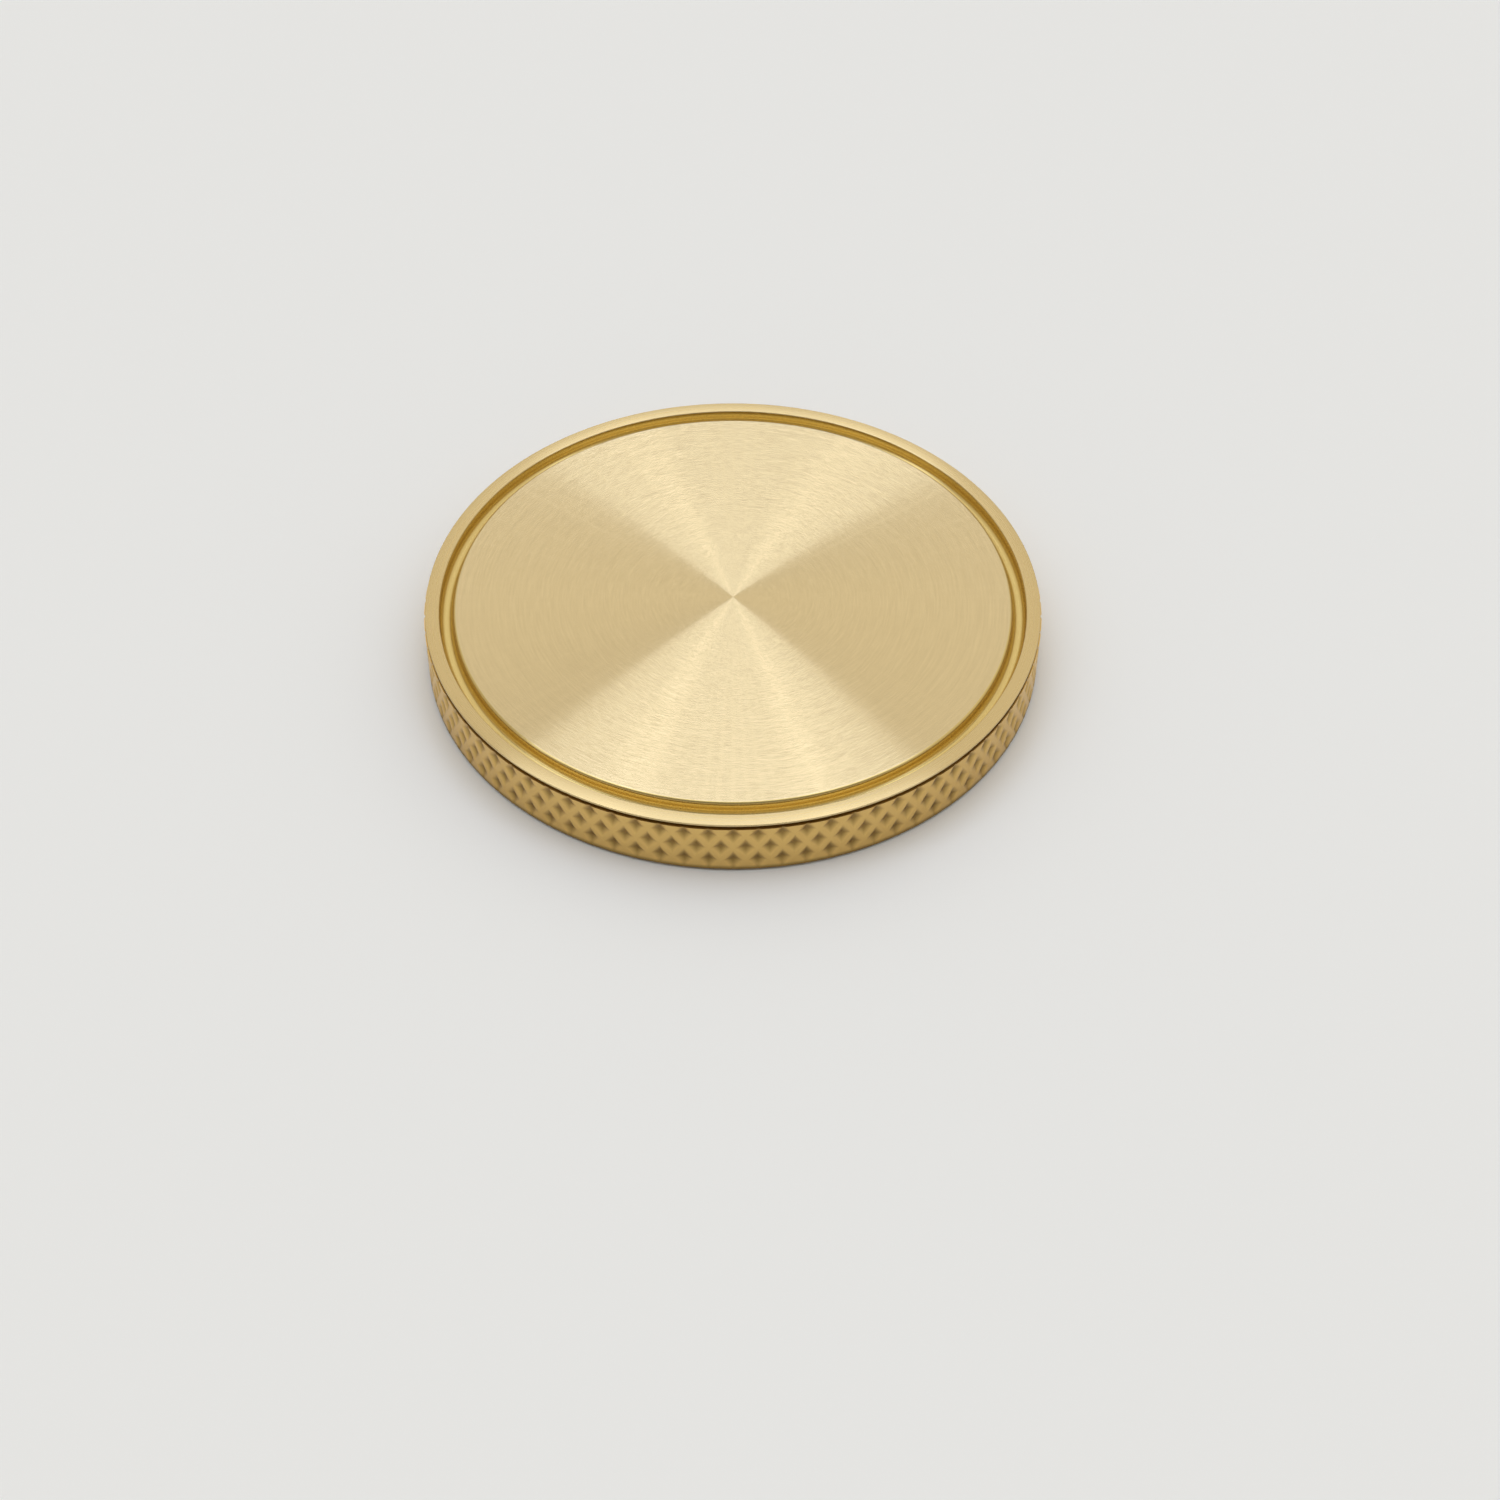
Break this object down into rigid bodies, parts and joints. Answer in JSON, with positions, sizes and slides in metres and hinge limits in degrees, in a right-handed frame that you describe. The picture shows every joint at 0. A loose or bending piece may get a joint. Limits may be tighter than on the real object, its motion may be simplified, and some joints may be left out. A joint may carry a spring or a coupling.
{
  "type": "golf ball marker",
  "caption": "Flat round brass marker disc with a circular brushed face, held flush by magnets in a shallow knurled brass carrier with a polished rim and a narrow groove.",
  "frame": {"origin": "centre of the carrier's flat underside", "axes": "+Z along the turning axis, from the underside towards the marker's face; +X and +Y lie between neighbouring magnets"},
  "size_m": [0.0318, 0.0318, 0.0032],
  "materials": {
    "carrier_brass": "polished rim, diamond-knurled side, turned underside",
    "marker_brass": "circular brushed",
    "keeper_steel": "fine ground",
    "magnet_nickel": "bright nickel plate"
  },
  "bodies": {
    "carrier": {"knurled_carrier": "carrier_brass", "magnet_1": "magnet_nickel", "magnet_2": "magnet_nickel", "magnet_3": "magnet_nickel", "magnet_4": "magnet_nickel"},
    "marker": {"marker_disc": "marker_brass", "keeper_plate": "keeper_steel"}
  },
  "joints": [
    {"name": "marker_lift", "type": "slide", "parent": "carrier", "child": "marker", "axis": [0, 0, 1], "range_m": [0, 0.012]}
  ]
}
